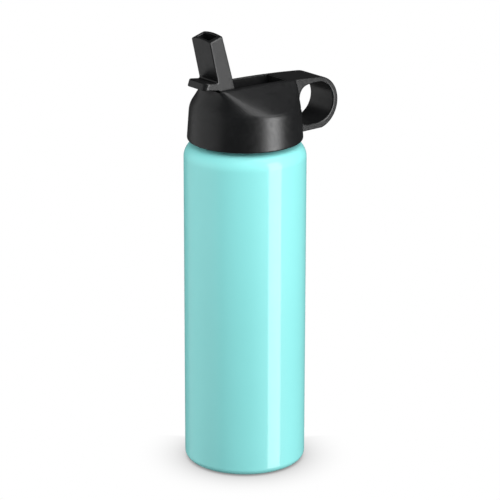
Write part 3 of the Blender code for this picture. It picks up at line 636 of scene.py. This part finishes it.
def make_liner():
    """The inner cup, one wall with a rolled lip that closes the neck."""
    centre_r = BODY_R - SHOULDER_R
    neck_out = MOUTH_R + LINER_WALL
    outer_arc, inner_arc = LINER_R - centre_r, LINER_R - LINER_WALL - centre_r
    outer_end = math.degrees(math.acos((neck_out - centre_r) / outer_arc))
    inner_end = math.degrees(math.acos((MOUTH_R - centre_r) / inner_arc))
    floor_under = LINER_FLOOR_Z - LINER_WALL
    corner = (LINER_R - LINER_CORNER, floor_under + LINER_CORNER)
    hem_z, roll = SHELL_TOP_Z + 0.3, 0.45
    hem = [(NECK_R, hem_z, 0.12), (neck_out, hem_z, 0)]
    lip = rounded([(MOUTH_R, LIP_Z, roll), (NECK_R, LIP_Z, roll), *hem])
    outline = [(0, LINER_FLOOR_Z), (14, LINER_FLOOR_Z), (15.5, LINER_FLOOR_Z + 0.25), (17, LINER_FLOOR_Z)]
    outline += arc(corner, LINER_CORNER - LINER_WALL, -90, 0, 10)
    outline += arc((centre_r, SHOULDER_Z), inner_arc, 0, inner_end, 12)
    outline += lip
    outline += arc((centre_r, SHOULDER_Z), outer_arc, outer_end, 0, 10)
    outline += arc(corner, LINER_CORNER, 0, -90, 8)
    outline += [(0, floor_under)]
    place(lathe("inner_cup", outline[::-1]), "bottle", LINER_STEEL, "liner_steel", "inner_liner")


def make_straw():
    """A drawn tube with eased ends that stops short of the cup's floor."""
    low, high = STRAW_Z
    outside = [(STRAW_R, high, 0.25), (STRAW_R, low, 0.2)]
    inside = [(STRAW_BORE_R, low, 0.1), (STRAW_BORE_R, high, 0.2)]
    straw = lathe("drinking_straw", rounded(outside + inside, 3), 64, (PIVOT_X, 0.0))
    place(straw, "straw", STRAW_PLASTIC, "straw_plastic", "straw")


def make_lid():
    """The cap and the spout, each meshed from its field inside a box just larger than itself."""
    pitch = 0.5
    cap = implicit("lid_cap", cap_field, (-35.5, 0, SKIRT_Z), (64.5, 35.5, 237.0), pitch)
    place(cap, "lid", BLACK, "black_plastic", "cap_body")
    pitch = 0.32
    spout = implicit("drinking_spout", spout_field, (-38.5, 0, 227.0), (-13.5, 9.0, 269.8), pitch)
    place(spout, "spout", BLACK, "black_plastic", "spout")


def make_gasket():
    """The mouth gasket, with rounded edges, at the height of its CAD node."""
    low, high = (corner.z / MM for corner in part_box("lid_gasket"))
    inner = MOUTH_R - GASKET_LAP
    corners = [(GASKET_R, high), (GASKET_R, low), (inner, low), (inner, high)]
    seal = rounded([(r, z, GASKET_ROUND) for r, z in corners], 4)
    place(lathe("mouth_gasket", seal, 128), "gasket", SILICONE, "silicone_rubber", "lid_gasket")


def finish_nodes():
    """Gives every CAD node that still shows its own procedural material."""
    wears = {
        "base_cover": BARE_STEEL,
        "outer_bottom": BARE_STEEL,
        "copper_wrap": copper_foil(),
        "vacuum_seal": fused_glass(),
        "getter": sintered_alloy(),
        "thread_insert": INSERT_BLACK,
        "straw_adapter": INSERT_BLACK,
        "adapter_oring": SILICONE,
        "cap_seal_ring": SILICONE,
        "spout_seal": SILICONE,
        "vent_valve": SILICONE,
        "spout_pin_far": BARE_STEEL,
        "spout_pin_near": BARE_STEEL,
    }
    for name, material in wears.items():
        dress(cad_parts[name], material)


# ---------------------------------------------------------------- floor, light and camera

# The floor's contact shadow is painted: ambient occlusion darkens its glowing colour, only on the camera's side
# of the bottle.
SHADOW_REACH, SHADOW_DARKEST = 0.034, 0.25
SHADOW_ENDS = (0.008, -0.030)  # metres to the camera's side of the axis: whole at the first, gone at the second
TOWARDS_CAMERA = Vector((-0.6428, -0.7660, 0.0))
RIGHT = Vector((0.7660, -0.6428, 0.0))


def seen_only(item):
    """The floor and backdrop are there for the camera alone, so that they light and mirror nothing."""
    item.visible_diffuse = False
    item.visible_glossy = False
    item.visible_transmission = False
    item.visible_shadow = False


def glowing(name, painted_shadow):
    """White light, which where asked is darkened by a painted contact shadow near what stands on it."""
    material = bpy.data.materials.new(name)
    material.use_nodes = True
    tree = material.node_tree
    tree.nodes.clear()
    glow = tree.nodes.new("ShaderNodeEmission")
    out = tree.nodes.new("ShaderNodeOutputMaterial")
    tree.links.new(glow.outputs["Emission"], out.inputs["Surface"])
    if painted_shadow:
        # painted shadow: ambient occlusion darkens the glow near the bottle, masked to the camera's side
        near = tree.nodes.new("ShaderNodeAmbientOcclusion")
        near.samples = 32
        near.inputs["Distance"].default_value = SHADOW_REACH
        painted_shadow_tone = tree.nodes.new("ShaderNodeMapRange")
        painted_shadow_tone.inputs["To Min"].default_value = SHADOW_DARKEST
        painted_shadow_tone.inputs["To Max"].default_value = 1.0
        painted_shadow_tone.interpolation_type = "SMOOTHSTEP"
        place_on = tree.nodes.new("ShaderNodeNewGeometry")
        towards = tree.nodes.new("ShaderNodeVectorMath")
        towards.operation = "DOT_PRODUCT"
        towards.inputs[1].default_value = TOWARDS_CAMERA
        front = tree.nodes.new("ShaderNodeMapRange")
        front.inputs["From Min"].default_value, front.inputs["From Max"].default_value = SHADOW_ENDS
        painted_shadow_value = tree.nodes.new("ShaderNodeMath")
        painted_shadow_value.operation = "MAXIMUM"
        tree.links.new(near.outputs["AO"], painted_shadow_tone.inputs["Value"])
        tree.links.new(place_on.outputs["Position"], towards.inputs[0])
        tree.links.new(towards.outputs["Value"], front.inputs["Value"])
        tree.links.new(front.outputs["Result"], painted_shadow_value.inputs[0])
        tree.links.new(painted_shadow_tone.outputs["Result"], painted_shadow_value.inputs[1])
        tree.links.new(painted_shadow_value.outputs["Value"], glow.inputs["Color"])
    return material


def make_floor():
    """A white floor with a painted soft contact shadow, and the white room around it."""
    bpy.ops.mesh.primitive_circle_add(vertices=96, radius=6.0, fill_type="NGON", location=(0, 0, -0.0002))
    floor = bpy.context.object
    floor.name = "studio_floor"
    seen_only(dress(floor, glowing("studio_floor", True)))
    bpy.ops.mesh.primitive_uv_sphere_add(segments=32, ring_count=16, radius=9.0)
    room = bpy.context.object
    room.name = "studio_room"
    seen_only(dress(room, glowing("studio_room", False)))


def area_light(name, angle, height, distance, size, radiance, aim=0.13, mirrored=True):
    """A soft box, at an angle right of the camera as seen from the bottle.

    One that isn't mirrored lights matt colour only.
    """
    turn = math.radians(angle)
    level = TOWARDS_CAMERA * math.cos(turn) + RIGHT * math.sin(turn)
    place_at = level * distance + Vector((0, 0, height))
    data = bpy.data.lights.new(name, "AREA")
    data.shape = "RECTANGLE"
    data.size, data.size_y = size
    data.energy = radiance * math.pi * size[0] * size[1]
    lamp = bpy.data.objects.new(name, data)
    lamp.location = place_at
    lamp.rotation_euler = (Vector((0, 0, aim)) - place_at).to_track_quat("-Z", "Y").to_euler()
    lamp.visible_camera = False
    lamp.visible_glossy = mirrored
    bpy.context.scene.collection.objects.link(lamp)


def make_light():
    """A faint even world, a window right, a broad box left, a small one above, and two fills."""
    world = bpy.data.worlds.new("studio")
    bpy.context.scene.world = world
    world.use_nodes = True
    background = world.node_tree.nodes["Background"]
    background.inputs["Color"].default_value = (1.0, 1.0, 1.0, 1.0)
    background.inputs["Strength"].default_value = 0.05
    area_light("window_box", 58, 0.2, 1.5, (0.72, 2.0), 8.6)
    area_light("left_box", -92, 0.0, 1.5, (2.6, 2.2), 0.57)
    area_light("top_box", 75, 0.85, 0.33, (0.5, 0.5), 2.8, aim=0.2)
    area_light("front_fill", 5, 0.72, 0.42, (0.5, 0.5), 5.0, aim=0.2, mirrored=False)
    area_light("left_fill", -75, 0.3, 1.5, (1.0, 1.5), 4.2, mirrored=False)


def make_camera():
    elevation, roll = math.radians(18.371), math.radians(0.109)
    distance = 1.6379
    look = -TOWARDS_CAMERA * math.cos(elevation) + Vector((0, 0, -math.sin(elevation)))
    target = Vector((2.327, -1.953, 131.67)) * MM
    up = RIGHT.cross(look)
    right = RIGHT * math.cos(roll) + up * math.sin(roll)
    up = up * math.cos(roll) - RIGHT * math.sin(roll)
    data = bpy.data.cameras.new("camera")
    data.lens = 196.6
    data.sensor_width = 36.0
    data.clip_start, data.clip_end = 0.05, 50.0
    camera = bpy.data.objects.new("camera", data)
    turn = Matrix((right, up, -look)).transposed().to_4x4()
    camera.matrix_world = Matrix.Translation(target - look * distance) @ turn
    bpy.context.scene.collection.objects.link(camera)
    bpy.context.scene.camera = camera


make_camera()
make_body()
make_liner()
make_straw()
make_lid()
make_gasket()
finish_nodes()
make_floor()
make_light()
view = bpy.context.scene.view_settings
view.view_transform = "Standard"
view.look = "None"
